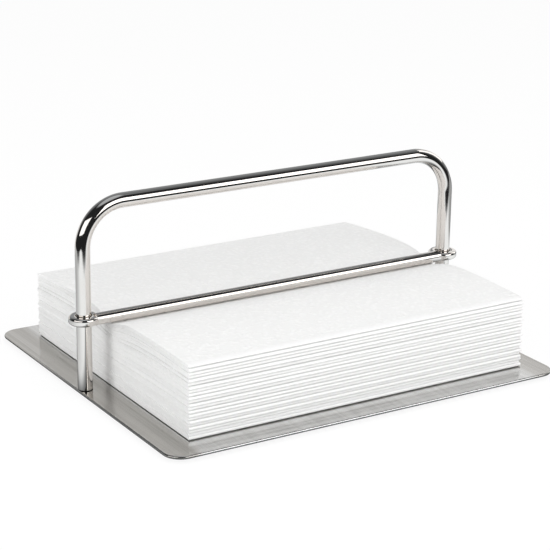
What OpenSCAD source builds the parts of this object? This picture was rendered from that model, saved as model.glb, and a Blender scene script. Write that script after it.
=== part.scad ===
// Flat napkin holder: a steel plate, a bent bar handle that stands on it and a press bar
// whose rings slide on the handle's uprights and whose rod holds down a stack of folded napkins.
// Millimetres. X runs along the press rod, Y to the back, Z up, origin under the plate's centre.

/* [Napkins] */
// Width of a folded napkin, along the press rod
napkin_w = 165; // [120:1:220]
// Depth of a folded napkin, front to back
napkin_d = 140; // [110:1:220]
// Thickness that one folded napkin takes up in the stack
napkin_t = 1.5; // [1:0.05:2]
// Number of napkins in the stack
napkin_count = 22; // [10:1:24]
// How far the rod presses the top of the stack down
press_dip = 4.9; // [2:0.1:6]
// Distance in front of and behind the rod where half of that dip is left on the top napkin
press_reach = 9; // [8:0.5:20]
// Share of a napkin's depth below the top that the dip reaches further there
press_spread_share = 1.4; // [0:0.1:2]
// How much lower the stack is at its front edge
front_drop = 1.4; // [0:0.1:4]
// How much lower the stack is at its back edge
back_drop = 4; // [0:0.1:5]
// How far single napkins stick out of the stack
napkin_stray = 0.5; // [0:0.1:0.8]
// How far the stack lies to the right of the middle
stack_shift = 1.2; // [0:0.1:1.5]

/* [Base plate] */
// Width of the bare plate left on every side of the stack
plate_margin = 12.5; // [12.5:0.5:30]
// Thickness of the sheet, which is also the diameter of its rounded edge
plate_t = 1.4; // [1.2:0.1:3]
// Radius of the plate's corners
plate_corner_r = 8; // [4:0.5:25]

/* [Handle] */
// Diameter of the bar that the handle is bent from
handle_d = 6.4; // [5:0.1:7]
// Distance from the plate's side edge to the axis of an upright
handle_edge = 3.3; // [3.3:0.1:4]
// Height of the top bar's axis above the plate
handle_h = 79.7; // [75:0.5:140]
// Radius of the two bends, at the bar's axis
handle_bend_r = 18.5; // [12:0.5:25]

/* [Press bar] */
// Diameter of the press rod
rod_d = 5.2; // [4:0.1:7]
// How far the rod's axis lies in front of the uprights
rod_forward = 2.4; // [0:0.1:3]
// Wall of the sliding rings
ring_wall = 2.9; // [2:0.1:3]
// Height of the sliding rings
ring_h = 3.6; // [3.4:0.1:8]
// Radius that rounds the outer edges of the rings
ring_round = 1.3; // [0.5:0.1:1.6]
// Running clearance between a ring and its upright
ring_clearance = 0.4; // [0.2:0.05:0.6]
// Depth of the seat in a ring that the end of the rod is brazed into
rod_seat = 0.8; // [0.4:0.1:1.2]

/* [Screws and feet] */
// Thread diameter of the countersunk screws that hold the handle
screw_d = 3; // [2.5:0.1:3.5]
// Length of the screws, with their heads
screw_l = 11; // [8:0.5:20]
// Diameter of the screw heads
screw_head_d = 5.4; // [4.8:0.1:5.5]
// Width across the flats of the socket in the screw heads
screw_socket = 2; // [1.5:0.1:2]
// Diameter of the rubber feet
foot_d = 10; // [6:0.5:16]
// Height of the rubber feet
foot_h = 1.6; // [1:0.1:5]
// Distance from the plate's edges to the middle of a foot
foot_inset = 17; // [10:0.5:30]

/* [Hidden] */
$fn = 64;
// Air between two napkins and between the stack and the plate
paper_gap = 0.05;
// Gap between the rod and the napkin under it
rest_gap = 0.3;
// Running clearance of the screws in the plate and in the handle
screw_clearance = 0.05;
// Depth of the tapped holes past the ends of the screws
tap_run_out = 2;
// How far a cutting shape runs past the faces that it cuts
overrun = 1;
// How far a foot narrows towards the table, as a share of its height
foot_taper_share = 0.5;
// Depth of the socket in a screw head, as a share of the head's cone
socket_share = 0.8;
// Even number of straight pieces that a napkin's depth is cut into, and pieces of its folded edges
napkin_steps = 36;
fold_steps = 4;
// Angles that spread the napkins' small shifts unevenly over the stack
stray_angle_x = 137;
stray_angle_y = 211;

plate_w = napkin_w + 2 * plate_margin;
plate_d = napkin_d + 2 * plate_margin;
plate_bottom = foot_h;
plate_top = plate_bottom + plate_t;
upright_x = plate_w / 2 - handle_edge;
bar_z = plate_top + handle_h;
bend_x = upright_x - handle_bend_r;
bend_z = bar_z - handle_bend_r;
rod_z = plate_top + napkin_count * napkin_t - press_dip + rest_gap + rod_d / 2;
ring_bore_r = handle_d / 2 + ring_clearance;
ring_r = ring_bore_r + ring_wall;
screw_cone = (screw_head_d - screw_d) / 2;
sides = [-1, 1];

function two_digits(i) = str(i < 10 ? "0" : "", i);
function napkin_name(i) = str("napkin_", two_digits(i));

// Base plate

// Rectangle with round corners, centred
module round_rectangle(w, d, r) {
    square([w - 2 * r, d], center = true);
    square([w, d - 2 * r], center = true);
    for (x = sides, y = sides)
        translate([x * (w / 2 - r), y * (d / 2 - r)])
            circle(r);
}

// Outer half of a round edge, standing to the right of the Y axis
module half_round(d) {
    intersection() {
        circle(d = d);
        translate([0, -d])
            square([d, 2 * d]);
    }
}

// Straight stretch of the plate's round edge, along X
module edge_strip(l) {
    rotate([90, 0, 90])
        linear_extrude(l, center = true)
            half_round(plate_t);
}

// Round edge of the whole plate: four straight strips and a quarter turn at each corner
module plate_edge() {
    core_r = plate_corner_r - plate_t / 2;
    for (a = [0, 180]) {
        rotate(a)
            translate([0, (plate_d - plate_t) / 2, 0])
                edge_strip(plate_w - 2 * plate_corner_r);
        rotate(a + 90)
            translate([0, (plate_w - plate_t) / 2, 0])
                edge_strip(plate_d - 2 * plate_corner_r);
    }
    for (x = sides, y = sides)
        translate([x * (plate_w / 2 - plate_corner_r), y * (plate_d / 2 - plate_corner_r), 0])
            rotate(atan2(y, x) - 45)
                rotate_extrude(angle = 90)
                    translate([core_r, 0])
                        half_round(plate_t);
}

// Hole for a screw from below, with the cone that its head sinks into
module screw_hole() {
    translate([0, 0, -overrun])
        cylinder(d = screw_d + 2 * screw_clearance, h = plate_t + 2 * overrun);
    cylinder(d1 = screw_head_d + 2 * screw_clearance, d2 = screw_d + 2 * screw_clearance, h = screw_cone);
}

module base_plate() {
    color("silver")
        difference() {
            translate([0, 0, plate_bottom]) {
                linear_extrude(plate_t)
                    round_rectangle(plate_w - plate_t, plate_d - plate_t, plate_corner_r - plate_t / 2);
                translate([0, 0, plate_t / 2])
                    plate_edge();
            }
            for (x = sides)
                translate([x * upright_x, 0, plate_bottom])
                    screw_hole();
        }
}

// Handle

// One upright with the bend at its top, on the right
module upright() {
    translate([upright_x, 0, plate_top])
        cylinder(d = handle_d, h = bend_z - plate_top);
    translate([bend_x, 0, bend_z])
        rotate([90, 0, 0])
            rotate_extrude(angle = 90)
                translate([handle_bend_r, 0])
                    circle(d = handle_d);
}

module handle_frame() {
    tap_h = screw_l - plate_t + tap_run_out;
    color("gainsboro")
        difference() {
            union() {
                upright();
                mirror([1, 0, 0])
                    upright();
                translate([-bend_x, 0, bar_z])
                    rotate([0, 90, 0])
                        cylinder(d = handle_d, h = 2 * bend_x);
            }
            for (x = sides)
                translate([x * upright_x, 0, plate_top - overrun])
                    cylinder(d = screw_d + 2 * screw_clearance, h = tap_h + overrun);
        }
}

// Countersunk screw, driven up through the plate into an upright
module handle_screw(x) {
    color("darkgray")
        translate([x * upright_x, 0, plate_bottom])
            difference() {
                union() {
                    cylinder(d1 = screw_head_d, d2 = screw_d, h = screw_cone);
                    cylinder(d = screw_d, h = screw_l);
                }
                translate([0, 0, -overrun])
                    cylinder(d = screw_socket / cos(30), h = screw_cone * socket_share + overrun, $fn = 6);
            }
}

module left_screw() {
    handle_screw(-1);
}

module right_screw() {
    handle_screw(1);
}

// Press bar

// Rod from upright to upright, before its ends are cut to the rings
module rod_blank() {
    translate([-upright_x, -rod_forward, rod_z])
        rotate([0, 90, 0])
            cylinder(d = rod_d, h = 2 * upright_x);
}

// Round bottom of the seats that the rod's ends stand in
module seat_cores() {
    for (x = sides)
        translate([x * upright_x, 0, rod_z - rod_d])
            cylinder(r = ring_r - rod_seat, h = 2 * rod_d);
}

module press_rod() {
    color("whitesmoke")
        difference() {
            rod_blank();
            seat_cores();
        }
}

// Section of a ring: a true bore inside and rounded edges outside
module ring_section() {
    translate([ring_bore_r, 0])
        intersection() {
            round_rectangle(2 * ring_wall, ring_h, ring_round);
            translate([0, -ring_h / 2])
                square([ring_wall, ring_h]);
        }
}

module sliding_ring(x) {
    color("whitesmoke")
        difference() {
            translate([x * upright_x, 0, rod_z])
                rotate_extrude()
                    ring_section();
            difference() {
                rod_blank();
                seat_cores();
            }
        }
}

module left_ring() {
    sliding_ring(-1);
}

module right_ring() {
    sliding_ring(1);
}

// Feet

module foot(x, y) {
    color("dimgray")
        translate([x * (plate_w / 2 - foot_inset), y * (plate_d / 2 - foot_inset), 0])
            cylinder(d1 = foot_d - 2 * foot_h * foot_taper_share, d2 = foot_d, h = foot_h);
}

module front_left_foot() {
    foot(-1, -1);
}

module front_right_foot() {
    foot(1, -1);
}

module back_left_foot() {
    foot(-1, 1);
}

module back_right_foot() {
    foot(1, 1);
}

// Napkins

// Share of its dip that the top of the k-th napkin still has at depth y: the dip is narrow on the
// top napkin and grows wider with every napkin below it
function dip_share(k, y) =
    let (reach = press_reach + press_spread_share * (napkin_count - k) * napkin_t)
    1 / (1 + pow((y + rod_forward) / reach, 2));

// How much lower the stack is at depth y than in the middle, because its edges are pressed flat
function edge_drop(y) = (y < 0 ? front_drop : back_drop) * pow(y / (napkin_d / 2), 2);

// Height above the plate of the top of the k-th napkin at depth y
function layer_z(k, y) =
    k * (napkin_t - (press_dip * dip_share(k, y) + edge_drop(y)) / napkin_count);

// Side view of the i-th napkin: its lower face, back edge, upper face and folded front edge.
// Between its ends its faces bend at the same depths as its neighbours' do, so the napkins nest, and
// the middle bend lies right under the rod.
function napkin_outline(i) =
    let (
        half_t = (napkin_t - paper_gap) / 2,
        half_d = napkin_d / 2 - half_t,
        step = 2 * half_d / napkin_steps,
        front = stray_y(i) - half_d,
        back = stray_y(i) + half_d,
        bends = [for (s = [2:napkin_steps - 1]) s * step - half_d - rod_forward],
        stations = concat([front], bends, [back]),
        turns = [for (s = [1:fold_steps]) 180 * s / (fold_steps + 1)],
        low = function (y) layer_z(i - 1, y) + paper_gap,
        high = function (y) layer_z(i, y)
    )
    concat(
        [for (y = stations) [y, low(y)]],
        [for (a = turns) [back + half_t * sin(a), mid_z(low(back), high(back), a)]],
        [for (s = [len(stations) - 1:-1:0]) [stations[s], high(stations[s])]],
        [for (a = turns) [front - half_t * sin(a), mid_z(high(front), low(front), a)]]
    );

// Height on a round edge that turns from one height to another
function mid_z(from, to, a) = (from + to) / 2 - (to - from) / 2 * cos(a);

// Places where single napkins lie a little askew in the stack
function stray_x(i) = napkin_stray * sin(stray_angle_x * i);
function stray_y(i) = napkin_stray * cos(stray_angle_y * i);

module napkin(i) {
    color("white")
        translate([stack_shift + stray_x(i), 0, plate_top])
            rotate([90, 0, 90])
                linear_extrude(napkin_w, center = true)
                    polygon(napkin_outline(i));
}

base_plate();
handle_frame();
press_rod();
left_ring();
right_ring();
left_screw();
right_screw();
front_left_foot();
front_right_foot();
back_left_foot();
back_right_foot();
for (i = [1:napkin_count])
    napkin(i);
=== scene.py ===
# %% [markdown]
# A napkin holder of stainless steel
#
# A thin plate carries a bar handle bent to an upside-down U. A lighter rod with a ring at each end
# slides on the handle's uprights and lies on a stack of folded paper napkins, so its weight keeps
# them in place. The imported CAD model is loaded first. It gives every piece its place, in metres,
# and what is made here is modelled around it in the same frame, so nothing has to be fitted by
# eye.

# %% Load the frame
import math

import bmesh
import bpy
import numpy as np
from mathutils import Matrix, Vector


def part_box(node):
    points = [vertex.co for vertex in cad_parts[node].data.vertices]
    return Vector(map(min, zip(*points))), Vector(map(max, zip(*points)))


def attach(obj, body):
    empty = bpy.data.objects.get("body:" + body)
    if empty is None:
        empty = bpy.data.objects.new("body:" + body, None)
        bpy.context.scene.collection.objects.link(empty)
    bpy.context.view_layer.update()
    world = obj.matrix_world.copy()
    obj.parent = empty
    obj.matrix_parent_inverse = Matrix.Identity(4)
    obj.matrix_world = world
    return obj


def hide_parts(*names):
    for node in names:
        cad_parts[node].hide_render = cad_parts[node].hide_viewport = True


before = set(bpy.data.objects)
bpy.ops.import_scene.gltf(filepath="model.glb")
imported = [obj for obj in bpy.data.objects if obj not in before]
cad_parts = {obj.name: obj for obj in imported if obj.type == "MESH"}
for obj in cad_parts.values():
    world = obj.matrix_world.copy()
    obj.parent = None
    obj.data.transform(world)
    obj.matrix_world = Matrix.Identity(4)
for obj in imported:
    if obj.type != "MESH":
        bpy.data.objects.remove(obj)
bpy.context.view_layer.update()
scene = bpy.context.scene
scene.view_settings.view_transform = "Standard"

# %% [markdown]
# The camera comes before the pieces, because it decides how fine they have to be. The picture was
# taken with a long lens from in front, a little to the left and slightly above. A Track To
# constraint could aim the camera, but it can't lean it, and the picture leans a little. So its
# matrix is put together from three turns: round the upright axis, then down from the horizon, and
# last a small roll about its own view.

# %% Camera
CAMERA_PLACE = Vector((-0.40734, -0.66212, 0.29541))
CAMERA_AZIMUTH = math.radians(-31.66)
CAMERA_ELEVATION = math.radians(18.30)
CAMERA_ROLL = math.radians(0.7)
CAMERA_LENS = 122.5
CAMERA_SENSOR = 36
CAMERA_NEAR = 0.05
CAMERA_FAR = 20

lens = bpy.data.cameras.new("camera")
lens.lens = CAMERA_LENS
lens.sensor_width = CAMERA_SENSOR
lens.clip_start = CAMERA_NEAR
lens.clip_end = CAMERA_FAR
camera = bpy.data.objects.new("camera", lens)
scene.collection.objects.link(camera)
turn = Matrix.Rotation(CAMERA_AZIMUTH, 4, "Z")
tilt = Matrix.Rotation(math.pi / 2 - CAMERA_ELEVATION, 4, "X")
roll = Matrix.Rotation(CAMERA_ROLL, 4, "Z")
camera.matrix_world = Matrix.Translation(CAMERA_PLACE) @ turn @ tilt @ roll
scene.camera = camera
print("camera", round(CAMERA_PLACE.length, 3), "m from the origin")

# %% [markdown]
# A material is a net of nodes, and long nets are hard to read as code. A small helper class keeps
# them short: it wraps one output socket, and adding, subtracting or multiplying two of them adds
# the Math node that does it. Every other node comes from one method, which takes the node's type,
# its settings and its inputs.

# %% Shader helpers
class Wire:
    """One output of a node. Sums and products of wires and numbers add Math nodes."""

    def __init__(self, net, socket):
        self.net = net
        self.socket = socket

    def __add__(self, other):
        return self.net.maths("ADD", self, other)

    def __radd__(self, other):
        return self.net.maths("ADD", other, self)

    def __sub__(self, other):
        return self.net.maths("SUBTRACT", self, other)

    def __rsub__(self, other):
        return self.net.maths("SUBTRACT", other, self)

    def __mul__(self, other):
        return self.net.maths("MULTIPLY", self, other)

    def __rmul__(self, other):
        return self.net.maths("MULTIPLY", other, self)


class Net:
    """The nodes of one material or of the world."""

    def __init__(self, owner):
        owner.use_nodes = True
        self.tree = owner.node_tree
        self.tree.nodes.clear()

    def node(self, kind, settings=None, inputs=None, output=0):
        made = self.tree.nodes.new(kind)
        for name, value in (settings or {}).items():
            setattr(made, name, value)
        for name, value in (inputs or {}).items():
            if isinstance(value, Wire):
                self.tree.links.new(value.socket, made.inputs[name])
            else:
                made.inputs[name].default_value = value
        return Wire(self, made.outputs[output])

    def maths(self, operation, first, second):
        return self.node("ShaderNodeMath", {"operation": operation}, {0: first, 1: second})

    def noise(self, place, size, detail=2.0, rough=0.5):
        """Soft spots of about a given size in metres, from 0 to 1."""
        inputs = {"Vector": place, "Scale": 1 / size, "Detail": detail, "Roughness": rough}
        return self.node("ShaderNodeTexNoise", {}, inputs)

    def blend(self, share, first, second):
        """A colour between two colours."""
        pair = (first, second)
        ends = [colour if isinstance(colour, Wire) else (*colour, 1) for colour in pair]
        inputs = {"Factor": share, 6: ends[0], 7: ends[1]}
        return self.node("ShaderNodeMix", {"data_type": "RGBA"}, inputs, 2)

    def bump(self, height, depth, strength=1.0):
        """The slopes of a relief that is a given number of metres deep."""
        inputs = {"Height": height, "Distance": depth, "Strength": strength}
        return self.node("ShaderNodeBump", {}, inputs)

    def finish(self, kind, shader):
        """Links a shader to the output node of a material or of the world."""
        made = self.tree.nodes.new(kind)
        self.tree.links.new(shader.socket, made.inputs["Surface"])


print("shader helpers ready")

# %% [markdown]
# Polished steel is the handle, the rod and the rings. Nearly all of its look is what it mirrors,
# so the base is a bright, slightly warm metal and the roughness is low. What tells it from a
# perfect mirror is small: the polishing wheel leaves patches that are a little duller, and waves
# far too shallow to see as shape, which still make the mirrored edges swim. Both could be painted
# as images, but soft noise on Object coordinates has no seams and needs no file. The lowest half
# millimetre of the bar, in the narrow joint where the handle stands on the plate, is painted dark
# and rough: painted shade for the dark contact line at its foot.

# %% Polished steel
def new_net(slot):
    """A new, empty material that keeps the name of its slot."""
    made = bpy.data.materials.new(slot + "_finish")
    made["slot"] = slot
    return made, Net(made)


def place_of(net):
    """The place on the piece, in metres."""
    return net.node("ShaderNodeTexCoord", {}, {}, "Object")


def rise(net, value, start, end):
    """A soft step from 0 to 1."""
    inputs = {"Value": value, "From Min": start, "From Max": end}
    return net.node("ShaderNodeMapRange", {"interpolation_type": "SMOOTHSTEP"}, inputs)


PATCH = 0.012
FINE_GRAIN = 0.0007
POLISH_DEPTH = 0.00002
FOOT_SHADE_H = 0.0005
STEEL_BRIGHT = (0.79, 0.755, 0.72)
STEEL_DULL = (0.74, 0.70, 0.665)
FOOT_SHADE_DARK = (0.03, 0.03, 0.03)
handle_low, handle_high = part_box("handle_frame")

polished_steel, net = new_net("polished_steel")
place = place_of(net)
patches = net.noise(place, PATCH, 3)
grain = net.noise(place, FINE_GRAIN, 2)
height = net.node("ShaderNodeSeparateXYZ", {}, {0: place}, "Z")
# Painted shade: the lowest half millimetre of the bar, at the joint with the plate, is dark.
above_foot_shade = rise(net, height, handle_low.z + FOOT_SHADE_H / 2, handle_low.z + FOOT_SHADE_H)
bright = net.blend(patches, STEEL_BRIGHT, STEEL_DULL)
shader = net.node("ShaderNodeBsdfPrincipled", {}, {
    "Base Color": net.blend(above_foot_shade, FOOT_SHADE_DARK, bright),
    "Metallic": 1.0,
    "Roughness": 0.03 + 0.03 * patches + 0.02 * grain + 0.4 * (1 - above_foot_shade),
    "Normal": net.bump(patches * 0.8 + grain * 0.2, POLISH_DEPTH, 0.4),
})
net.finish("ShaderNodeOutputMaterial", shader)
print("material", polished_steel.name)

# %% [markdown]
# The plate is the same steel with a satin face: it was drawn under a fine brush, and then kept
# bright enough to mirror the stack. Brushing shows as faint lines that run from front to back. An
# anisotropic shader is the usual way to show it, but that would smear the mirrored stack. Noise
# that is stretched about eighty times along Y gives real lines: mostly in the colour, less in the
# roughness, and as a very shallow relief. Along the left and right sides the steel is painted
# darker and warmer: painted shade that stands in for the shaded sides of the stack, which the
# plate mirrors there.

# %% Satin steel
BRUSH_LINE = 0.002
BRUSH_STRETCH = 0.012
BRUSH_DEPTH = 0.00002
CLOUD = 0.03
SHADED_SIDE_START = 0.079
SHADED_SIDE_END = 0.085
MIDDLE_DARK = (0.60, 0.595, 0.585)
MIDDLE_PALE = (0.74, 0.735, 0.725)
SIDE_SHADE_DARK = (0.38, 0.365, 0.34)
SIDE_SHADE_PALE = (0.54, 0.525, 0.50)

satin_steel, net = new_net("satin_steel")
place = place_of(net)
brushed = {"Vector": place, "Scale": (1.0, BRUSH_STRETCH, 1.0)}
lines = net.noise(net.node("ShaderNodeMapping", {}, brushed), BRUSH_LINE, 4, 0.6)
clouds = net.noise(place, CLOUD, 2)
across = net.node("ShaderNodeSeparateXYZ", {}, {0: place}, "X")
# Painted shade: darker, warmer steel along the left and right sides, where the plate mirrors the
# stack's shaded sides.
sides = rise(net, net.maths("ABSOLUTE", across, 0), SHADED_SIDE_START, SHADED_SIDE_END)
drawn = rise(net, lines, 0.35, 0.65) * 0.7 + clouds * 0.3
middle = net.blend(drawn, MIDDLE_DARK, MIDDLE_PALE)
edge = net.blend(drawn, SIDE_SHADE_DARK, SIDE_SHADE_PALE)
shader = net.node("ShaderNodeBsdfPrincipled", {}, {
    "Base Color": net.blend(sides, middle, edge),
    "Metallic": 1.0,
    "Roughness": 0.13 + 0.05 * lines + 0.02 * clouds,
    "Normal": net.bump(lines, BRUSH_DEPTH, 0.2),
})
net.finish("ShaderNodeOutputMaterial", shader)
print("material", satin_steel.name)

# %% [markdown]
# The napkins are soft tissue paper, white and quite without gloss. Up close the sheet is pressed
# with a fine pebble pattern of about two millimetres, and between the pebbles there are loose
# fibres. Modelled pebbles would take millions of faces, and at a depth of a third of a millimetre
# a bump in the shading looks the same. The pits are also painted a little darker than the tops,
# as painted shade in the hollows. The pattern follows the sheet round its folds, so it reads the
# sheet's own UV map, which is laid out in the flat sheet's size. Napkins are cut from a long roll,
# so each one's map starts where the last one ended, and no two look alike. The last fold irons the
# pattern out along the front edge.

# %% Paper
SHEET_W = 0.33
SHEET_D = 0.28
PEBBLE = 0.0021
FIBRE = 0.0003
PAPER_RELIEF = 0.0003
IRONED_START = 0.001
IRONED_END = 0.004
PAPER_PEBBLE_TOP = (0.955, 0.955, 0.95)
PAPER_PIT_SHADE = (0.905, 0.905, 0.90)

napkin_paper, net = new_net("napkin_paper")
flat = net.node("ShaderNodeTexCoord", {}, {}, "UV")
flat = net.node("ShaderNodeMapping", {}, {"Vector": flat, "Scale": (SHEET_W, SHEET_D, 1)})
pebble_inputs = {"Vector": flat, "Scale": 1 / PEBBLE, "Smoothness": 0.6, "Randomness": 0.75}
pebbles = net.node("ShaderNodeTexVoronoi", {"feature": "SMOOTH_F1"}, pebble_inputs)
along = net.node("ShaderNodeSeparateXYZ", {}, {0: flat}, "Y")
from_fold = net.maths("ABSOLUTE", along - SHEET_D / 2, 0)
pits_and_shade = rise(net, pebbles, 0.2, 0.6) * rise(net, from_fold, IRONED_START, IRONED_END)
fibres = net.noise(flat, FIBRE, 4, 0.65)
relief = (1 - pits_and_shade) * 0.7 + fibres * 0.3
shader = net.node("ShaderNodeBsdfPrincipled", {}, {
    # Painted shade: the pits are a little darker than the tops of the pebbles.
    "Base Color": net.blend(pits_and_shade * 0.8 + fibres * 0.2, PAPER_PEBBLE_TOP, PAPER_PIT_SHADE),
    "Roughness": 0.88 + 0.1 * fibres,
    "Specular IOR Level": 0.2,
    "Normal": net.bump(relief, PAPER_RELIEF),
})
net.finish("ShaderNodeOutputMaterial", shader)
print("material", napkin_paper.name)

# %% [markdown]
# Two finishes are left, and both are seen mainly from below. The feet are dark rubber with a
# moulded grain. The countersunk screws are plain turned steel, duller than the handle. Each takes
# one fine noise for its relief and one coarse noise for its colour, which is enough for pieces
# this small.

# %% Rubber and screw steel
RUBBER_GRAIN = 0.0004
RUBBER_CLOUD = 0.004
RUBBER_DEPTH = 0.00008
RUBBER_DARK = (0.030, 0.030, 0.031)
RUBBER_PALE = (0.048, 0.047, 0.046)

rubber, net = new_net("rubber")
place = place_of(net)
grain = net.noise(place, RUBBER_GRAIN, 3)
clouds = net.noise(place, RUBBER_CLOUD, 2)
shader = net.node("ShaderNodeBsdfPrincipled", {}, {
    "Base Color": net.blend(clouds, RUBBER_DARK, RUBBER_PALE),
    "Roughness": 0.68 + 0.2 * grain,
    "Normal": net.bump(grain, RUBBER_DEPTH, 0.5),
})
net.finish("ShaderNodeOutputMaterial", shader)

SCREW_GRAIN = 0.0003
SCREW_CLOUD = 0.002
SCREW_DEPTH = 0.00003
SCREW_DARK = (0.50, 0.49, 0.475)
SCREW_PALE = (0.60, 0.59, 0.575)

screw_steel, net = new_net("screw_steel")
place = place_of(net)
grain = net.noise(place, SCREW_GRAIN, 3)
clouds = net.noise(place, SCREW_CLOUD, 2)
shader = net.node("ShaderNodeBsdfPrincipled", {}, {
    "Base Color": net.blend(clouds, SCREW_DARK, SCREW_PALE),
    "Metallic": 1.0,
    "Roughness": 0.26 + 0.12 * grain,
    "Normal": net.bump(grain, SCREW_DEPTH, 0.4),
})
net.finish("ShaderNodeOutputMaterial", shader)
print("materials", rubber.name, screw_steel.name)

# %% [markdown]
# Modelling with operators works on whatever is selected, so each piece starts from an empty
# selection. Inside edit mode, vertices, edges and faces are picked in code by where they lie. When
# a piece is done its place is applied to the mesh, it is told which body it moves with, and the
# CAD node that it stands for is hidden.

# %% Modelling helpers
SMOOTH_ANGLE = math.radians(40)


def begin():
    """Leaves edit mode and deselects everything."""
    if bpy.context.mode != "OBJECT":
        bpy.ops.object.mode_set(mode="OBJECT")
    bpy.ops.object.select_all(action="DESELECT")


def edit(piece):
    """Opens a piece that is alone in the selection, with all of it selected."""
    begin()
    bpy.context.view_layer.objects.active = piece
    piece.select_set(True)
    bpy.ops.object.mode_set(mode="EDIT")
    bpy.ops.mesh.select_all(action="SELECT")


def choose(piece, kind, test):
    """Selects the vertices, edges or faces that pass a test, and says how many there are."""
    bpy.ops.mesh.select_mode(type=kind)
    bpy.ops.mesh.select_all(action="DESELECT")
    shape = bmesh.from_edit_mesh(piece.data)
    rows = {"VERT": shape.verts, "EDGE": shape.edges, "FACE": shape.faces}[kind]
    found = [row for row in rows if test(row)]
    for row in found:
        row.select_set(True)
    shape.select_flush_mode()
    bmesh.update_edit_mesh(piece.data)
    return len(found)


def pull(x=0.0, y=0.0, z=0.0):
    """Extrudes the selection and moves the new end."""
    bpy.ops.mesh.extrude_region_move(TRANSFORM_OT_translate={"value": (x, y, z)})


def complete(piece, name, body, material, node):
    """Applies a piece's place, shades it and joins it to the frame."""
    begin()
    bpy.context.view_layer.objects.active = piece
    piece.select_set(True)
    bpy.ops.object.transform_apply(location=True, rotation=True, scale=True)
    bpy.ops.object.shade_smooth_by_angle(angle=SMOOTH_ANGLE)
    piece.name = name
    piece.data.name = name
    piece.data.materials.clear()
    piece.data.materials.append(material)
    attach(piece, body)
    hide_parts(node)
    size = [round(1000 * side, 2) for side in piece.dimensions]
    print(name, "measures", size, "mm with", len(piece.data.polygons), "faces")


def own_copy(piece, x=0.0, y=0.0):
    """A copy with a mesh of its own, moved sideways."""
    copied = piece.copy()
    copied.data = piece.data.copy()
    copied.data.transform(Matrix.Translation((x, y, 0)))
    scene.collection.objects.link(copied)
    return copied


print("modelling helpers ready")

# %% [markdown]
# The plate is cut from 1.4 mm sheet, its corners are rounded, and its edge is ground to a half
# round so that it doesn't scratch. A cube with a Bevel modifier would round all its edges alike,
# but the corners are far rounder than the edge. So the plate starts as a plane: its four corners
# are bevelled as vertices, the thickness is extruded, and then the upper and lower rim are
# bevelled. A weighted normal keeps the large faces flat in the light beside the round rim.

# %% Base plate
plate_low, plate_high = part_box("base_plate")
PLATE_W = plate_high.x - plate_low.x
PLATE_D = plate_high.y - plate_low.y
PLATE_T = plate_high.z - plate_low.z
PLATE_CORNER_R = 0.008
PLATE_CORNER_STEPS = 16
PLATE_EDGE = 0.47 * PLATE_T
PLATE_EDGE_STEPS = 6
NEARLY_FLAT = 0.9


def is_rim(edge):
    """True where a level face meets a steep one."""
    flat = [abs(face.normal.z) > NEARLY_FLAT for face in edge.link_faces]
    return len(flat) == 2 and flat[0] != flat[1]


begin()
bpy.ops.mesh.primitive_plane_add(size=1, location=(0, 0, plate_low.z))
plate = bpy.context.object
edit(plate)
bpy.ops.transform.resize(value=(PLATE_W, PLATE_D, 1))
bpy.ops.mesh.bevel(
    offset=PLATE_CORNER_R, segments=PLATE_CORNER_STEPS, affect="VERTICES", clamp_overlap=False)
pull(z=PLATE_T)
bpy.ops.mesh.select_all(action="SELECT")
bpy.ops.mesh.normals_make_consistent(inside=False)
print("rim edges:", choose(plate, "EDGE", is_rim))
bpy.ops.mesh.bevel(
    offset=PLATE_EDGE, segments=PLATE_EDGE_STEPS, affect="EDGES", clamp_overlap=False)

# %% [markdown]
# Each upright is held by a countersunk screw from below, so the plate has two holes with a cone
# for the screw's head. They could be inset and extruded, but then the large faces would have to be
# divided first. A cutter is quicker: a cone and a shank in one mesh, taken away by a Boolean
# modifier.

# %% Screw holes
SCREW_R = 0.0015
SCREW_HEAD_R = 0.0027
SCREW_PLAY = 0.00005
HOLE_OVERRUN = 0.001
HOLE_POINTS = 48

screw_low, screw_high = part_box("left_screw")
UPRIGHT_X = -(screw_low.x + screw_high.x) / 2
cone_h = SCREW_HEAD_R - SCREW_R


def widen(from_r, to_r):
    """Scales the selected end of an upright piece from one radius to another."""
    bpy.ops.transform.resize(value=(to_r / from_r, to_r / from_r, 1))


for side in (-1, 1):
    begin()
    bpy.ops.mesh.primitive_circle_add(
        vertices=HOLE_POINTS, radius=SCREW_R + SCREW_PLAY, fill_type="NGON",
        location=(side * UPRIGHT_X, 0, plate_high.z + HOLE_OVERRUN))
    cutter = bpy.context.object
    edit(cutter)
    pull(z=-(PLATE_T + HOLE_OVERRUN - cone_h))
    pull(z=-cone_h - SCREW_PLAY)
    widen(SCREW_R + SCREW_PLAY, SCREW_HEAD_R + 2 * SCREW_PLAY)
    pull(z=-HOLE_OVERRUN)
    bpy.ops.mesh.select_all(action="SELECT")
    bpy.ops.mesh.normals_make_consistent(inside=False)
    begin()
    bpy.context.view_layer.objects.active = plate
    plate.select_set(True)
    hole = plate.modifiers.new("screw_hole", "BOOLEAN")
    hole.operation = "DIFFERENCE"
    hole.solver = "EXACT"
    hole.object = cutter
    bpy.ops.object.modifier_apply(modifier=hole.name)
    bpy.data.objects.remove(cutter)

complete(plate, "steel_plate", "holder", satin_steel, "base_plate")
plate.modifiers.new("even_faces", "WEIGHTED_NORMAL").keep_sharp = True
bpy.ops.object.modifier_apply(modifier="even_faces")

# %% [markdown]
# The handle is one round bar with two bends. A curve with a round bevel would be shorter to write,
# but it has no tapped holes and no chamfers at its ends. So one circle takes the way that the bar
# takes through a workshop's bending former: it starts at the inner end of the tapped hole in the
# left upright, comes down, turns out over the chamfered end, runs up the upright, spins round the
# bend, crosses, and ends in the right upright's hole.

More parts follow.
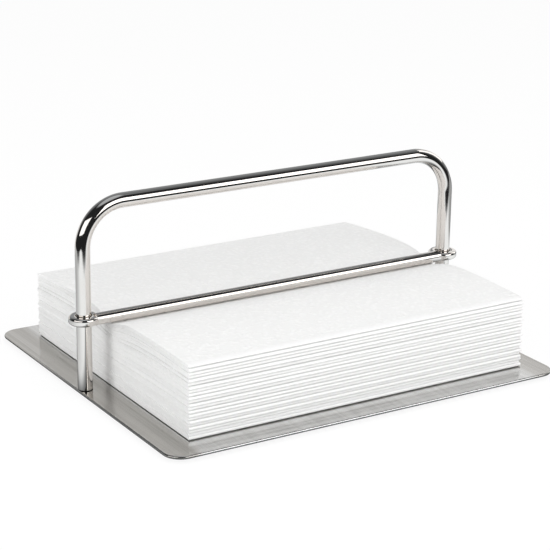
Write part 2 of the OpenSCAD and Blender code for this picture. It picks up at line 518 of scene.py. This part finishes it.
# %% Handle
HANDLE_R = (handle_high.y - handle_low.y) / 2
HANDLE_BEND_R = 0.0185
HANDLE_CHAMFER = 0.0003
TAP_R = SCREW_R + SCREW_PLAY
TAP_DEPTH = 0.0116
HANDLE_POINTS = 64
BEND_STEPS = 28

foot_z = handle_low.z
bend_x = UPRIGHT_X - HANDLE_BEND_R
bend_z = handle_high.z - HANDLE_R - HANDLE_BEND_R


def bend(x):
    """Spins the bar's open end a quarter turn."""
    bpy.ops.mesh.spin(
        steps=BEND_STEPS, angle=-math.pi / 2, center=(x, 0, bend_z), axis=(0, 1, 0))


begin()
bpy.ops.mesh.primitive_circle_add(
    vertices=HANDLE_POINTS, radius=TAP_R, location=(-UPRIGHT_X, 0, foot_z + TAP_DEPTH))
handle = bpy.context.object
edit(handle)
pull(z=-TAP_DEPTH)
pull()
widen(TAP_R, HANDLE_R - HANDLE_CHAMFER)
pull(z=HANDLE_CHAMFER)
widen(HANDLE_R - HANDLE_CHAMFER, HANDLE_R)
pull(z=bend_z - foot_z - HANDLE_CHAMFER)
bend(-bend_x)
pull(x=2 * bend_x)
bend(bend_x)
pull(z=foot_z + HANDLE_CHAMFER - bend_z)
pull(z=-HANDLE_CHAMFER)
widen(HANDLE_R, HANDLE_R - HANDLE_CHAMFER)
pull()
widen(HANDLE_R - HANDLE_CHAMFER, TAP_R)
pull(z=TAP_DEPTH)
bpy.ops.mesh.select_all(action="SELECT")
bpy.ops.mesh.fill_holes(sides=0)
bpy.ops.mesh.select_all(action="SELECT")
bpy.ops.mesh.normals_make_consistent(inside=False)
complete(handle, "steel_handle", "holder", polished_steel, "handle_frame")

# %% [markdown]
# The press bar's rings are turned parts: a plain bore that runs on the upright, and an outside
# that is rounded until only a narrow flat is left on top. A torus comes close, but it has neither
# the straight bore nor the flat. A turned part is its section spun round an axis, so the section
# is drawn first, as a plane with bevelled corners. The right ring is a copy of the left one with
# its own mesh.

# %% Rings
ring_low, ring_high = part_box("left_ring")
RING_R = (ring_high.x - ring_low.x) / 2
RING_H = ring_high.z - ring_low.z
RING_PLAY = 0.0004
RING_BORE_R = HANDLE_R + RING_PLAY
RING_ROUND = 0.0013
RING_ROUND_STEPS = 10
RING_BORE_EDGE = 0.00025
RING_BORE_STEPS = 3
RING_STEPS = 72
MERGE = 0.00001
ring_z = (ring_low.z + ring_high.z) / 2
section_x = -UPRIGHT_X + (RING_BORE_R + RING_R) / 2
bore_x = -UPRIGHT_X + RING_BORE_R

begin()
bpy.ops.mesh.primitive_plane_add(
    size=1, location=(section_x, 0, ring_z), rotation=(math.pi / 2, 0, 0))
left_ring = bpy.context.object
bpy.ops.object.transform_apply(location=True, rotation=True, scale=True)
edit(left_ring)
bpy.ops.transform.resize(value=(RING_R - RING_BORE_R, 1, RING_H))
choose(left_ring, "VERT", lambda corner: corner.co.x > section_x)
bpy.ops.mesh.bevel(offset=RING_ROUND, segments=RING_ROUND_STEPS, affect="VERTICES")
choose(left_ring, "VERT", lambda corner: corner.co.x < bore_x + RING_BORE_EDGE)
bpy.ops.mesh.bevel(offset=RING_BORE_EDGE, segments=RING_BORE_STEPS, affect="VERTICES")
bpy.ops.mesh.select_all(action="SELECT")
bpy.ops.mesh.delete(type="ONLY_FACE")
bpy.ops.mesh.select_all(action="SELECT")
bpy.ops.mesh.spin(
    steps=RING_STEPS, angle=2 * math.pi, center=(-UPRIGHT_X, 0, ring_z), axis=(0, 0, 1))
bpy.ops.mesh.select_all(action="SELECT")
bpy.ops.mesh.remove_doubles(threshold=MERGE)
bpy.ops.mesh.normals_make_consistent(inside=False)
begin()
right_ring = own_copy(left_ring, x=2 * UPRIGHT_X)
complete(left_ring, "left_slide_ring", "press_bar", polished_steel, "left_ring")
complete(right_ring, "right_slide_ring", "press_bar", polished_steel, "right_ring")

# %% [markdown]
# The rod sits in a shallow seat in each ring, a little in front of the uprights. A cylinder as it
# comes has sharp ends, so a circle is laid across, pulled from ring to ring and given a small
# chamfer at both ends, which stay inside the rings' walls and short of their bores.

# %% Rod
rod_low, rod_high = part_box("press_rod")
ROD_R = (rod_high.z - rod_low.z) / 2
ROD_CHAMFER = 0.0002
ROD_SHORT_OF_BORE = 0.0002
ROD_POINTS = 56
rod_y = (rod_low.y + rod_high.y) / 2
rod_z = (rod_low.z + rod_high.z) / 2
rod_end = UPRIGHT_X - RING_BORE_R - ROD_SHORT_OF_BORE


def thin(from_r, to_r):
    """Scales the selected end of the rod from one radius to another."""
    bpy.ops.transform.resize(value=(1, to_r / from_r, to_r / from_r))


begin()
bpy.ops.mesh.primitive_circle_add(
    vertices=ROD_POINTS, radius=ROD_R - ROD_CHAMFER, fill_type="NGON",
    location=(-rod_end, rod_y, rod_z), rotation=(0, math.pi / 2, 0))
rod = bpy.context.object
bpy.ops.object.transform_apply(location=True, rotation=True, scale=True)
edit(rod)
pull(x=ROD_CHAMFER)
thin(ROD_R - ROD_CHAMFER, ROD_R)
pull(x=2 * (rod_end - ROD_CHAMFER))
pull(x=ROD_CHAMFER)
thin(ROD_R, ROD_R - ROD_CHAMFER)
bpy.ops.mesh.select_all(action="SELECT")
bpy.ops.mesh.normals_make_consistent(inside=False)
complete(rod, "rod", "press_bar", polished_steel, "press_rod")

# %% [markdown]
# Four rubber feet keep the plate and the screw heads off the table. A foot is a low drum with a
# round lower edge and a shallow dish in its sole, which grips better than a flat one. Seen from
# below, the dish is what makes it a foot and not a disc, so it is inset and pushed in. One foot is
# modelled and copied to the other corners.

# %% Feet
foot_low, foot_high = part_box("front_left_foot")
FOOT_R = (foot_high.x - foot_low.x) / 2
FOOT_H = foot_high.z - foot_low.z
FOOT_TAPER = 0.5 * FOOT_H
FOOT_ROUND = 0.00035
FOOT_ROUND_STEPS = 4
FOOT_LIP = 0.0011
FOOT_DISH = 0.0003
FOOT_DISH_SHARE = 0.9
FOOT_POINTS = 48
foot_x = (foot_low.x + foot_high.x) / 2
foot_y = (foot_low.y + foot_high.y) / 2

begin()
bpy.ops.mesh.primitive_circle_add(
    vertices=FOOT_POINTS, radius=FOOT_R, fill_type="NGON", location=(foot_x, foot_y, foot_high.z))
first_foot = bpy.context.object
bpy.ops.object.transform_apply(location=True, rotation=True, scale=True)
edit(first_foot)
pull(z=-FOOT_H)
widen(FOOT_R, FOOT_R - FOOT_TAPER)
bpy.ops.mesh.select_all(action="SELECT")
bpy.ops.mesh.normals_make_consistent(inside=False)
choose(first_foot, "FACE", lambda face: face.normal.z < -NEARLY_FLAT)
bpy.ops.mesh.inset(thickness=FOOT_LIP)
pull(z=FOOT_DISH)
widen(1, FOOT_DISH_SHARE)
lip = foot_low.z + FOOT_DISH / 2
choose(first_foot, "EDGE", lambda edge: is_rim(edge) and max(v.co.z for v in edge.verts) < lip)
bpy.ops.mesh.bevel(offset=FOOT_ROUND, segments=FOOT_ROUND_STEPS, affect="EDGES")
begin()
feet = {"front_left": first_foot}
feet["front_right"] = own_copy(first_foot, x=-2 * foot_x)
feet["back_left"] = own_copy(first_foot, y=-2 * foot_y)
feet["back_right"] = own_copy(first_foot, x=-2 * foot_x, y=-2 * foot_y)
for corner, foot in feet.items():
    complete(foot, corner + "_rubber_foot", "holder", rubber, corner + "_foot")

# %% [markdown]
# The screws stay as the CAD model has them: a countersunk head with a hexagon socket, the only
# part that shows. They only need the turned steel finish in place of the plain colour.

# %% Screws
for name in ("left_screw", "right_screw"):
    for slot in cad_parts[name].material_slots:
        slot.material = screw_steel
print("screws finished in", screw_steel.name)

# %% [markdown]
# The stack sags under the rod. A simulation of the weight would give a dip too, but not the one
# that the solids have. So the upper face of the k-th napkin follows their formula, which needs
# only the place y from front to back: a dip below the rod, narrow in the top napkin and wider in
# each one further down, a small drop towards the front edge and a larger one towards the back
# edge. All of it fades out towards the plate, on which the lowest napkin lies flat.

# %% Shape of the stack
COUNT = 22
NAPKIN_D = SHEET_D / 2
NAPKIN_T = 0.0015
PRESS_DIP = 0.0049
PRESS_REACH = 0.009
PRESS_SPREAD_SHARE = 1.4
FRONT_DROP = 0.0014
BACK_DROP = 0.004
plate_top = plate_high.z
stack_low, stack_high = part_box("napkin_01")


def dip_share(k, y):
    """The share of the rod's dip that reaches a place in the k-th napkin."""
    reach = PRESS_REACH + PRESS_SPREAD_SHARE * (COUNT - k) * NAPKIN_T
    return 1 / (1 + ((y - rod_y) / reach) ** 2)


def layer_top(k, y):
    """Height of the upper face of the k-th napkin, without its small faults."""
    drop = np.where(y < 0, FRONT_DROP, BACK_DROP) * (y / (NAPKIN_D / 2)) ** 2
    return plate_top + k * (NAPKIN_T - (PRESS_DIP * dip_share(k, y) + drop) / COUNT)


front_height = 1000 * float(layer_top(COUNT, stack_low.y) - plate_top)
print("stack of", COUNT, "napkins,", round(front_height, 1), "mm high in front")

# %% [markdown]
# No two napkins are equally thick, so each face that two neighbours share gets a small unevenness
# and a few long, shallow waves of its own. They calm down under the rod, where the paper is
# pressed. The lowest napkins also curl up a little along their edges, which leaves a thin dark
# line above the plate. Because the napkin below ends at the shared face and the one above starts
# just over it, they can't cut into one another.

# %% Small faults of the stack
UNEVEN = 0.00011
WAVE = 0.00005
FACE_WAVES = (4, 0.05, 0.20)
CALM_SHARE = 0.8
LIFT = 0.0004
LIFT_WIDTH = 0.006
LIFTED_NAPKINS = 5
draw = np.random.RandomState(22)


def waves(count, shortest, longest):
    """Random waves over a surface: directions, lengths and phases."""
    angle = draw.uniform(0, 2 * math.pi, count)
    number = 2 * math.pi / draw.uniform(shortest, longest, count)
    return number * np.cos(angle), number * np.sin(angle), draw.uniform(0, 2 * math.pi, count)


def height_of(parts, x, y):
    """Height of a sum of waves at a place, from -1 to 1."""
    along, across, phase = parts
    total = sum(np.sin(a * x + b * y + c) for a, b, c in zip(along, across, phase))
    return total / len(phase)


uneven = np.concatenate([[0], draw.uniform(-UNEVEN, UNEVEN, COUNT - 1), [0]])
swell = [waves(*FACE_WAVES) for _ in range(COUNT + 1)]


def edge_lift(k, x, y):
    """How far the lowest napkins curl up along their edges."""
    sideways = np.minimum(x - stack_low.x, stack_high.x - x)
    inside = np.minimum(sideways, np.minimum(y - stack_low.y, stack_high.y - y))
    curl = (1 - np.clip(inside / LIFT_WIDTH, 0, 1)) ** 2
    return LIFT * max(0, 1 - k / LIFTED_NAPKINS) * curl


def shared_face(k, x, y):
    """Height of the face between the k-th napkin and the next one."""
    free = 0.0 if k in (0, COUNT) else 1 - CALM_SHARE * dip_share(COUNT, y)
    fault = uneven[k] + WAVE * height_of(swell[k], x, y)
    return layer_top(k, y) + edge_lift(k, x, y) + free * fault


print("shared faces are uneven by up to", round(1000 * float(np.abs(uneven).max()), 2), "mm")

# %% [markdown]
# A napkin is one sheet folded twice: first right over left, so a crease runs down the right side,
# and then front over back, which makes the round folded edge that faces the user. The left and
# back sides show four cut edges. Cloth tools would take minutes for a stack, and a fold is simple
# to write down: along the sheet, a point's layer turns over in half an ellipse at each crease. So
# the flat sheet is laid out as a grid, with more rows along its edges and below the rod. For each
# row the grid says how far it lies from an edge and how far round a crease.

# %% Grid of the flat sheet
CREASE_STEPS = 4
FOLD_STEPS = 8
ACROSS_EDGES = [0.008, 0.02, 0.98, 0.992]
ACROSS = np.unique(np.concatenate([np.linspace(0, 1, 15), ACROSS_EDGES]))
DIP_ROWS = np.linspace(0.34, 0.64, 15)
FOLD_ROWS = [0.006, 0.014]
DEEP = np.unique(np.round(np.concatenate([np.linspace(0, 1, 27), DIP_ROWS, FOLD_ROWS]), 4))


def half_turn(steps):
    """The angles inside half a turn, without its two ends."""
    return np.linspace(0, math.pi, steps + 1)[1:-1]


# Across: 0 at the cut edge on the left and 1 at the crease on the right
crease = half_turn(CREASE_STEPS)
width_share = np.concatenate([ACROSS, np.ones(len(crease)), ACROSS[::-1]])
crease_turn = np.concatenate([np.zeros(len(ACROSS)), crease, np.full(len(ACROSS), math.pi)])

# From front to back: 0 at the fold and 1 at the cut edge
fold = half_turn(FOLD_STEPS)
depth_share = np.concatenate([DEEP[::-1], np.zeros(len(fold)), DEEP])
fold_turn = np.concatenate([np.zeros(len(DEEP)), fold, np.full(len(DEEP), math.pi)])
print("one sheet has", len(width_share) * len(depth_share), "points")

# %% [markdown]
# This function says where each point of the k-th sheet ends up. Cut edges never lie quite on top
# of each other, so each layer is a little askew. A stack is knocked square before it goes into
# the holder, so its left and front sides line up. The folds are pinched a little thinner than the
# napkin, except the lowest ones, which the weight above presses nearly square.

# %% Fold one napkin
PAPER_GAP = 0.00005

# How far the folds bow out, as a share of the thickness, and how square the front one is
FOLD_OUT = 0.95
FOLD_SQUARE = 0.9
CREASE_OUT = 0.16

# Where the sides line up, and the room that is left for the folds and the paper
KNOCKED_LEFT = -0.0811
KNOCKED_FRONT = -0.0702
EDGE_ROOM = 0.0003
FOLD_ROOM = 0.0005

# Small faults of the edges
ASKEW = 0.0001
RIPPLE = 0.0001
EDGE_WAVES = (3, 0.05, 0.15)

# How much thinner a fold is, how far back that reaches, and what the weight changes
PINCH_LEAST = 0.14
PINCH_MOST = 0.24
PINCH_REACH = 0.03
PRESSED_NAPKINS = 5
PRESSED_PINCH = 0.9
PRESSED_SQUARE = 0.4
PRESSED_OUT = 0.45


def fold_napkin(k):
    """The places of the points of the k-th sheet."""
    low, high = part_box(f"napkin_{k:02d}")
    share, turn_x = width_share[:, None], crease_turn[:, None]
    depth, turn_y = depth_share[None, :], fold_turn[None, :]
    second = (1 - np.cos(turn_x)) / 2
    upper = (1 - np.cos(turn_y)) / 2

    # Each cut edge has a small shift and a small slant
    askew = draw.uniform(-ASKEW, ASKEW, 4)
    slant = draw.uniform(-ASKEW, ASKEW, 4)
    bulge = waves(*EDGE_WAVES)
    side = waves(*EDGE_WAVES)
    pressed = max(0, 1 - (k - 1) / PRESSED_NAPKINS)
    snug = 1 - (1 - PRESSED_PINCH * pressed) * draw.uniform(PINCH_LEAST, PINCH_MOST)
    left = max(low.x, KNOCKED_LEFT) + EDGE_ROOM
    left = left + (askew[0] + slant[0] * (depth - 0.5)) * (1 - second)
    left = left + (askew[1] + slant[1] * (depth - 0.5)) * second
    back = high.y - EDGE_ROOM + (askew[2] + slant[2] * (share - 0.5)) * (1 - upper)
    back = back + (askew[3] + slant[3] * (share - 0.5)) * upper

    # Outer layers lie 3/8 of the thickness from the middle, and inner ones 1/8
    reach = 3 / 8 - second / 4
    square = FOLD_SQUARE - PRESSED_SQUARE * pressed
    lean = np.sign(np.cos(turn_y)) * np.abs(np.cos(turn_y)) ** square
    bow = (FOLD_OUT - PRESSED_OUT * pressed) * np.abs(np.sin(turn_y)) ** square
    level = 0.5 - reach * lean

    # The level goes from 0 at the napkin's lower face to 1 at its upper face
    crease_x = high.x - EDGE_ROOM
    fold_y = max(low.y, KNOCKED_FRONT) + FOLD_ROOM
    x = left + share * (crease_x - left)
    y = fold_y + depth * (back - fold_y)
    bottom = shared_face(k - 1, x, y) + PAPER_GAP
    thick = shared_face(k, x, y) - bottom
    pinch = 1 - (1 - snug) * np.exp(-(depth / PINCH_REACH) ** 2)
    x = x + CREASE_OUT * thick * np.sin(turn_x) + RIPPLE * height_of(side, x, y) * share
    y = y - reach * thick * bow + RIPPLE * height_of(bulge, x, y) * (1 - depth)
    return x, y, bottom + (0.5 + (level - 0.5) * pinch) * thick


print("the", PRESSED_NAPKINS, "lowest folds are pressed")

# %% [markdown]
# The folded points are joined by faces, four points to each. Unwrapping the folded mesh would give
# it a UV map, but here each point's place on the flat sheet is already known, so it is written
# down: u runs across the sheet and v along it. The k-th napkin's u starts at k, which is the roll
# of paper that the finish above speaks of.

# %% Mesh of one sheet
def sheet_mesh(name, k, x, y, z):
    """A mesh of four-sided faces with the flat sheet as its UV map."""
    rows, columns = x.shape
    points = np.stack([x, y, z], axis=-1).reshape(-1, 3)
    number = np.arange(rows * columns).reshape(rows, columns)
    corners = (number[:-1, :-1], number[1:, :-1], number[1:, 1:], number[:-1, 1:])
    faces = np.stack(corners, axis=-1).reshape(-1, 4)
    mesh = bpy.data.meshes.new(name)
    mesh.from_pydata(points.tolist(), [], faces.tolist())
    run_u = np.where(crease_turn < math.pi / 2, width_share / 2, 1 - width_share / 2)
    run_v = np.where(fold_turn < math.pi / 2, (1 - depth_share) / 2, (1 + depth_share) / 2)
    u = np.broadcast_to(run_u[:, None] + k, x.shape)
    v = np.broadcast_to(run_v[None, :], x.shape)
    flat = np.stack([u, v], axis=-1).reshape(-1, 2)[faces.ravel()]
    layer = mesh.uv_layers.new(name="flat_sheet")
    layer.data.foreach_set("uv", flat.ravel())
    return mesh


print("one sheet has", (len(width_share) - 1) * (len(depth_share) - 1), "faces")

# %% [markdown]
# All 22 napkins are folded the same way, each with its own small faults, and each rests on the one
# below it. A Solidify modifier gives the paper its thickness.

# %% Napkins
PAPER_T = 0.0003
for k in range(1, COUNT + 1):
    name = f"paper_napkin_{k:02d}"
    napkin = bpy.data.objects.new(name, sheet_mesh(name, k, *fold_napkin(k)))
    scene.collection.objects.link(napkin)
    begin()
    bpy.context.view_layer.objects.active = napkin
    napkin.select_set(True)
    wall = napkin.modifiers.new("paper", "SOLIDIFY")
    wall.thickness = PAPER_T
    wall.offset = 0
    bpy.ops.object.modifier_apply(modifier=wall.name)
    complete(napkin, name, "holder", napkin_paper, f"napkin_{k:02d}")

# %% [markdown]
# The floor is a pale sheet. To the camera it is almost as bright as the white behind it, and it
# keeps a trace of the object's shadow. A shadow catcher could do that, but only together with
# compositing. In the steel the floor shows as what a photographer has: a pale table top that ends
# in front and on the left, with a dark room beyond it, that is dimmer on the right and at the
# back, and that lies in shade close to the plate. The steel is slightly warm, so this table is
# slightly cool, and what the steel mirrors comes out grey. The Light Path node tells these rays
# apart. Seen from below the floor is clear.

# %% Floor
FLOOR_SIZE = 12
FLOOR_PALE = (0.82, 0.82, 0.82, 1)
FLOOR_FAINT = (0.12, 0.12, 0.12, 1)
FLOOR_WHITE = 0.89
TABLE_LEFT = -0.27
TABLE_FRONT = -0.16
TABLE_RIGHT = 0.25
TABLE_BACK = 0.12
TABLE_FADE = 0.045
TABLE_GLOW = 1.1
TABLE_TINT = (0.95, 1, 1.03, 1)
RIGHT_DIM = 0.6
BACK_DIM = 0.5
SHADE_WIDTH = 0.03
SHADE_GLOW = 0.15
BEYOND_GLOW = 0.02

begin()
bpy.ops.mesh.primitive_plane_add(size=FLOOR_SIZE, location=(0, 0, 0))
floor = bpy.context.object
floor.name = "floor"

floor_paint, net = new_net("floor")
path_camera = net.node("ShaderNodeLightPath", {}, {}, "Is Camera Ray")
path_glossy = net.node("ShaderNodeLightPath", {}, {}, "Is Glossy Ray")
under = net.node("ShaderNodeNewGeometry", {}, {}, "Backfacing")
place = place_of(net)
across = net.node("ShaderNodeSeparateXYZ", {}, {0: place}, "X")
deep = net.node("ShaderNodeSeparateXYZ", {}, {0: place}, "Y")
beside = net.maths("ABSOLUTE", across, 0) - PLATE_W / 2
before = net.maths("ABSOLUTE", deep, 0) - PLATE_D / 2
open_left = rise(net, across, TABLE_LEFT - TABLE_FADE, TABLE_LEFT)
open_front = rise(net, deep, TABLE_FRONT - TABLE_FADE, TABLE_FRONT)
dim_right = 1 - RIGHT_DIM * rise(net, across, TABLE_RIGHT - TABLE_FADE, TABLE_RIGHT)
dim_back = 1 - BACK_DIM * rise(net, deep, -PLATE_D / 2, TABLE_BACK)
unshaded = rise(net, net.maths("MAXIMUM", beside, before), 0, SHADE_WIDTH)
shade = SHADE_GLOW + (1 - SHADE_GLOW) * unshaded
table = BEYOND_GLOW + open_left * open_front * dim_right * shade * dim_back * TABLE_GLOW
pale = net.node("ShaderNodeBsdfDiffuse", {}, {"Color": FLOOR_PALE})
faint = net.node("ShaderNodeBsdfDiffuse", {}, {"Color": FLOOR_FAINT})
white = net.node("ShaderNodeEmission", {}, {"Color": (1, 1, 1, 1), "Strength": FLOOR_WHITE})
seen = net.node("ShaderNodeAddShader", {}, {0: white, 1: faint})
mirrored = net.node("ShaderNodeEmission", {}, {"Color": TABLE_TINT, "Strength": table})
clear = net.node("ShaderNodeBsdfTransparent")
mixed = net.node("ShaderNodeMixShader", {}, {0: path_glossy, 1: pale, 2: mirrored})
mixed = net.node("ShaderNodeMixShader", {}, {0: path_camera, 1: mixed, 2: seen})
mixed = net.node("ShaderNodeMixShader", {}, {0: under, 1: mixed, 2: clear})
net.finish("ShaderNodeOutputMaterial", mixed)
floor.data.materials.append(floor_paint)
print("mirrored table from", TABLE_LEFT, "m on the left and", TABLE_FRONT, "m in front")

# %% [markdown]
# A studio image could light everything at once, but then the steel couldn't be changed without the
# paper. So the world has three parts. The camera sees plain white. Paper is lit by an even grey.
# Steel sees a room that is dark in front and on the left, which gives polished bars their black
# lines, and grows paler at the back right. Straight above it has a pale ceiling, which keeps the
# plate from going black when it is seen from above. The room is slightly cool for the same reason
# as the table.

# %% World
AMBIENT = 0.57
ROOM_DARK = 0.02
ROOM_PALE = 0.32
ROOM_TINT = (0.94, 1, 1.05)
RIGHT_SHARE = 0.6
BACK_SHARE = 0.8
PALE_START = 0.05
PALE_END = 0.8
CEILING = 0.5
CEILING_START = 0.88
CEILING_END = 0.96

world = bpy.data.worlds.new("studio")
scene.world = world
net = Net(world)
path_camera = net.node("ShaderNodeLightPath", {}, {}, "Is Camera Ray")
path_glossy = net.node("ShaderNodeLightPath", {}, {}, "Is Glossy Ray")
path_clear = net.node("ShaderNodeLightPath", {}, {}, "Is Transmission Ray")
direction = net.node("ShaderNodeTexCoord", {}, {}, "Generated")
rightward = net.node("ShaderNodeSeparateXYZ", {}, {0: direction}, "X")
backward = net.node("ShaderNodeSeparateXYZ", {}, {0: direction}, "Y")
upward = net.node("ShaderNodeSeparateXYZ", {}, {0: direction}, "Z")
room = net.node("ShaderNodeMapRange", {}, {
    "Value": rightward * RIGHT_SHARE + backward * BACK_SHARE,
    "From Min": PALE_START,
    "From Max": PALE_END,
    "To Min": ROOM_DARK,
    "To Max": ROOM_PALE,
})
room = room + CEILING * rise(net, upward, CEILING_START, CEILING_END)
seen = path_camera + path_clear
level = seen + path_glossy * room + (1 - seen - path_glossy) * AMBIENT
tint = net.blend(path_glossy, (1, 1, 1), ROOM_TINT)
sky = net.node("ShaderNodeBackground", {}, {"Color": tint, "Strength": level})
net.finish("ShaderNodeOutputWorld", sky)
print("world with an even grey of", AMBIENT)

# %% [markdown]
# Polished metal is drawn by what it mirrors, so a photographer puts white cards round it. Area
# lights would draw the same white lines, but they would light the paper too, so a card here is a
# plane that only mirrored rays can see. Three stand further off, each given by the direction it
# stands in, how many degrees of view it fills and how bright it is: a wide one in front draws the
# white line along the bars, and one on each side lights the bends. Four low ones stand in a row
# close behind the object and show in the plate. They are lower where the tops of the rings look,
# so that the rings keep their dark shoulders.

# %% Cards for the steel
CARD_DISTANCE = 1.2
AIM = Vector((0, 0, 0.04))

# Azimuth, elevation, width and height in degrees, and brightness
CARDS = {
    "front_card": (22, 23, 46, 36, 2.2),
    "left_card": (-72, 24, 56, 28, 1.5),
    "right_card": (97, 29, 26, 38, 1.5),
}

BACK_CARD_Y = 0.20

# Left end, right end and height in metres, and brightness
BACK_CARDS = {
    "back_left_card": (-0.20, 0.03, 0.10, 0.84),
    "back_card": (0.03, 0.18, 0.125, 0.84),
    "back_right_card": (0.18, 0.24, 0.092, 0.95),
    "corner_card": (0.24, 0.55, 0.22, 0.95),
}


def outward(azimuth, elevation):
    """The direction of a place round the object: azimuth 0 is in front and 90 is on the right."""
    sideways = math.radians(azimuth)
    upwards = math.radians(elevation)
    ground = math.cos(upwards)
    return Vector((math.sin(sideways) * ground, -math.cos(sideways) * ground, math.sin(upwards)))


def degrees_wide(angle, distance):
    """The width that fills an angle of view at a distance."""
    return 2 * distance * math.tan(math.radians(angle / 2))


def only_mirrored(card, brightness):
    """Makes a plane shine for mirrored rays alone."""
    paint, net = new_net(card.name)
    glow = net.node("ShaderNodeEmission", {}, {"Color": (1, 1, 1, 1), "Strength": brightness})
    net.finish("ShaderNodeOutputMaterial", glow)
    card.data.materials.append(paint)
    card.visible_camera = False
    card.visible_diffuse = False
    card.visible_transmission = False
    card.visible_shadow = False


for name, (azimuth, elevation, wide, tall, brightness) in CARDS.items():
    toward = outward(azimuth, elevation)
    begin()
    turned = toward.to_track_quat("Z", "Y").to_euler()
    there = AIM + CARD_DISTANCE * toward
    bpy.ops.mesh.primitive_plane_add(size=1, location=there, rotation=turned)
    card = bpy.context.object
    card.name = name
    card.scale = (degrees_wide(wide, CARD_DISTANCE), degrees_wide(tall, CARD_DISTANCE), 1)
    only_mirrored(card, brightness)

for name, (start, end, tall, brightness) in BACK_CARDS.items():
    begin()
    middle = ((start + end) / 2, BACK_CARD_Y, tall / 2)
    bpy.ops.mesh.primitive_plane_add(size=1, location=middle, rotation=(math.pi / 2, 0, 0))
    card = bpy.context.object
    card.name = name
    card.scale = (end - start, tall, 1)
    only_mirrored(card, brightness)
print("cards:", len(CARDS) + len(BACK_CARDS))

# %% [markdown]
# The paper is lit by softboxes, which are area lights that leave no mark in the steel. A sun lamp
# would be simpler, but its shadows are too hard for a studio. An area light's power is its
# brightness times its area times pi, so the code works that out. The small, low one on the left
# throws the soft shadow of the upright on the side of the stack.

# %% Softboxes
LIGHT_DISTANCE = 1.2

# Azimuth, elevation, width and height in degrees, and brightness
SOFTBOXES = {
    "top_front": (0, 62, 50, 50, 1.45),
    "front": (15, 17, 50, 30, 1.65),
    "left": (-82, 30, 60, 40, 0.55),
    "left_low": (-92, 9, 20, 14, 6.5),
}

for name, (azimuth, elevation, wide, tall, brightness) in SOFTBOXES.items():
    toward = outward(azimuth, elevation)
    lamp = bpy.data.lights.new(name, "AREA")
    lamp.shape = "RECTANGLE"
    lamp.size = degrees_wide(wide, LIGHT_DISTANCE)
    lamp.size_y = degrees_wide(tall, LIGHT_DISTANCE)
    lamp.energy = brightness * math.pi * lamp.size * lamp.size_y
    softbox = bpy.data.objects.new(name, lamp)
    softbox.location = AIM + LIGHT_DISTANCE * toward
    softbox.rotation_euler = toward.to_track_quat("Z", "Y").to_euler()
    softbox.visible_camera = False
    softbox.visible_glossy = False
    scene.collection.objects.link(softbox)
    print("softbox", name, round(lamp.energy, 1), "W")


begin()
bpy.context.view_layer.update()
